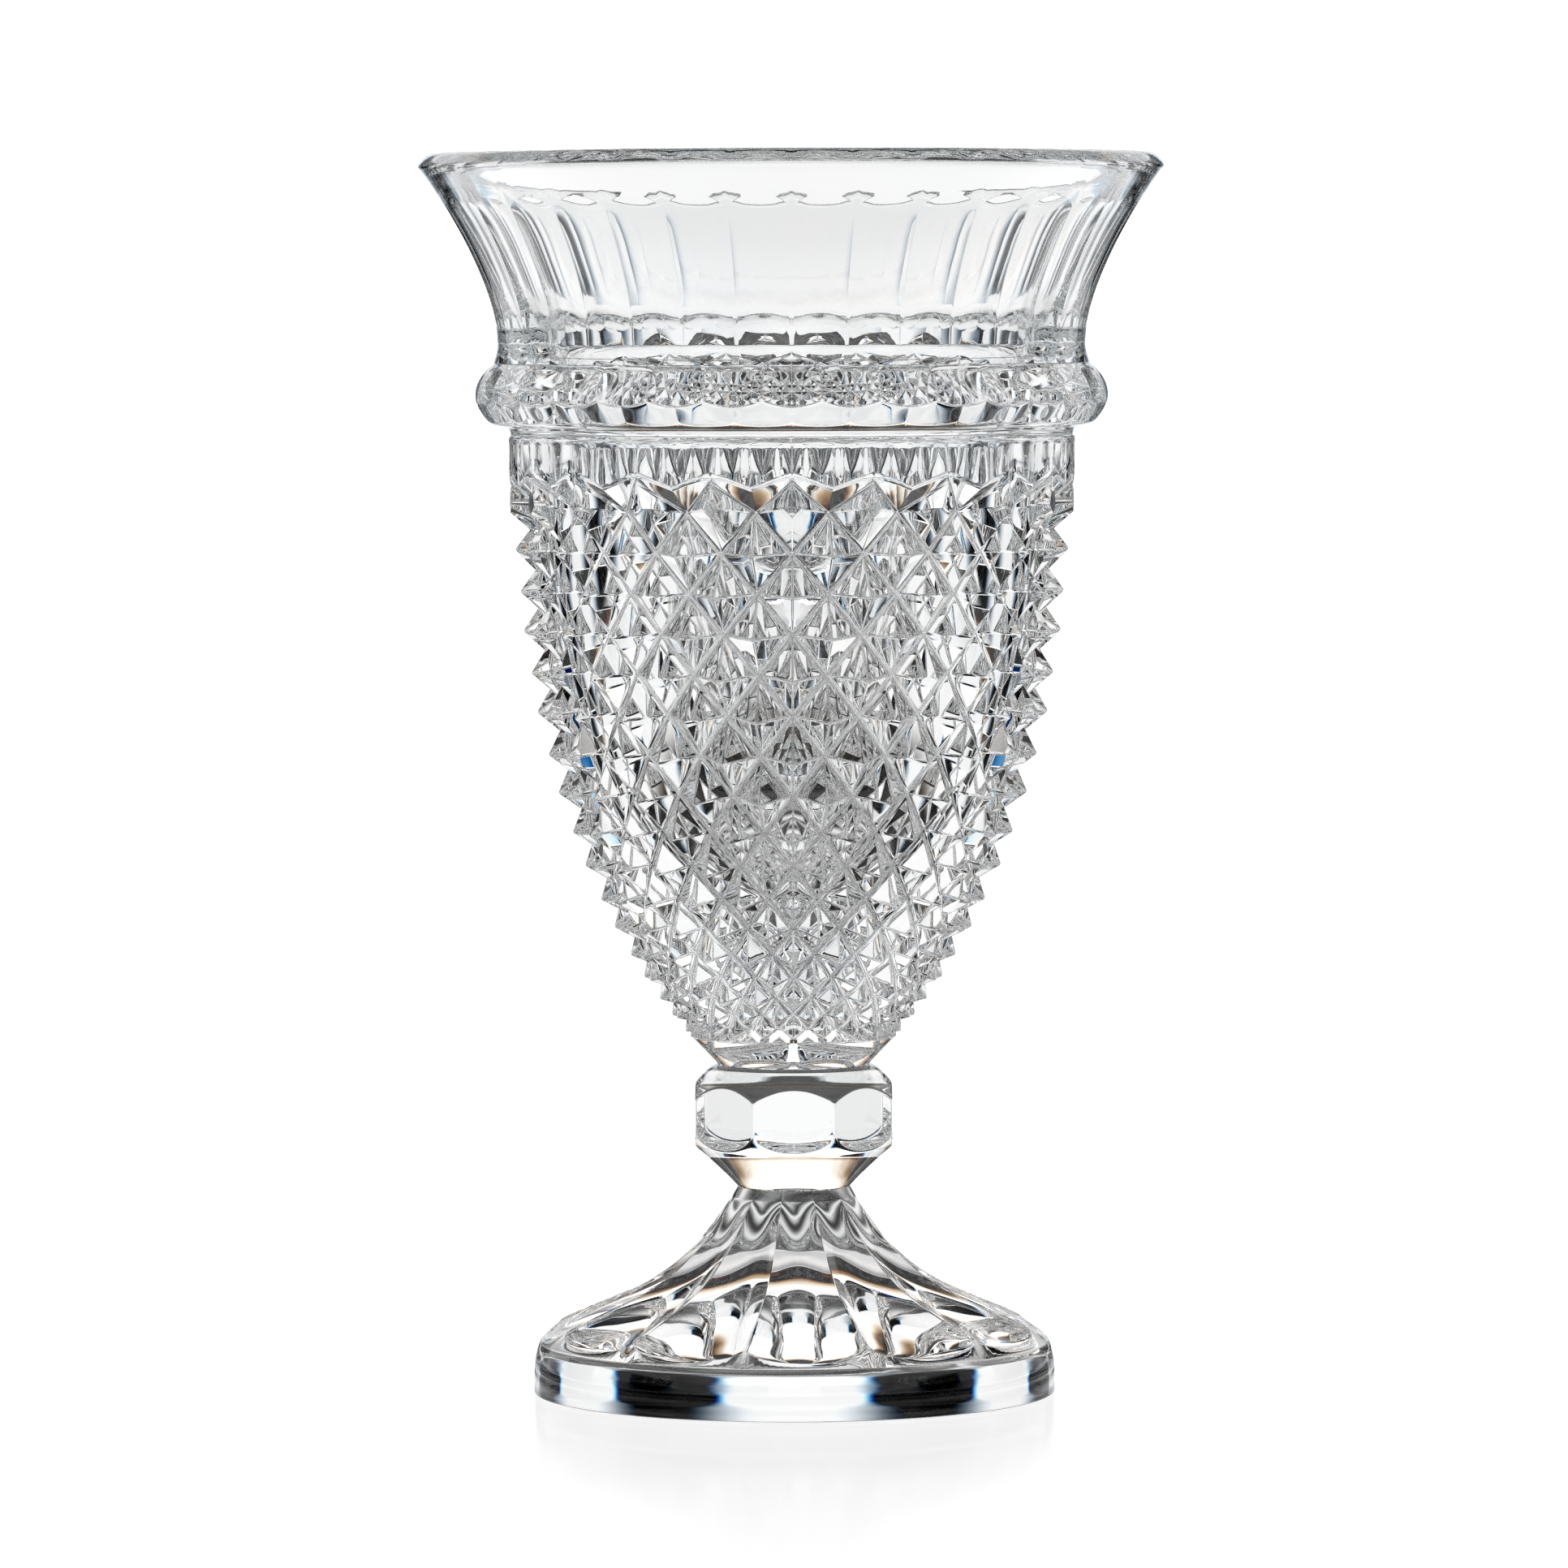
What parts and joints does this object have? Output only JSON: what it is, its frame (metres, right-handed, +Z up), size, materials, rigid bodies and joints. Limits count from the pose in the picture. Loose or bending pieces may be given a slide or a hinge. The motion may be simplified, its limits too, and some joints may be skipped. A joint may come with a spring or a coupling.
{
  "type": "footed cut-glass vase",
  "caption": "Clear cut-glass footed vase: flared fluted collar, faceted ring, diamond-cut bowl, faceted knop and a round fluted foot.",
  "frame": {"origin": "centre of the flat underside of the foot, where the vase stands", "axes": "+Z up along the axis of the vase, from the foot to the rim; the front of the vase faces -Y"},
  "size_m": [0.1834, 0.1834, 0.3058],
  "materials": {
    "crystal": "polished clear crystal",
    "clear_adhesive": "cured clear film"
  },
  "bodies": {
    "root": {"foot": "crystal", "bond_foot": "clear_adhesive", "knop": "crystal", "bond_knop": "clear_adhesive", "diamond_bowl": "crystal", "bond_bowl": "clear_adhesive", "girdle_ring": "crystal", "bond_ring": "clear_adhesive", "rim_collar": "crystal"}
  },
  "joints": []
}
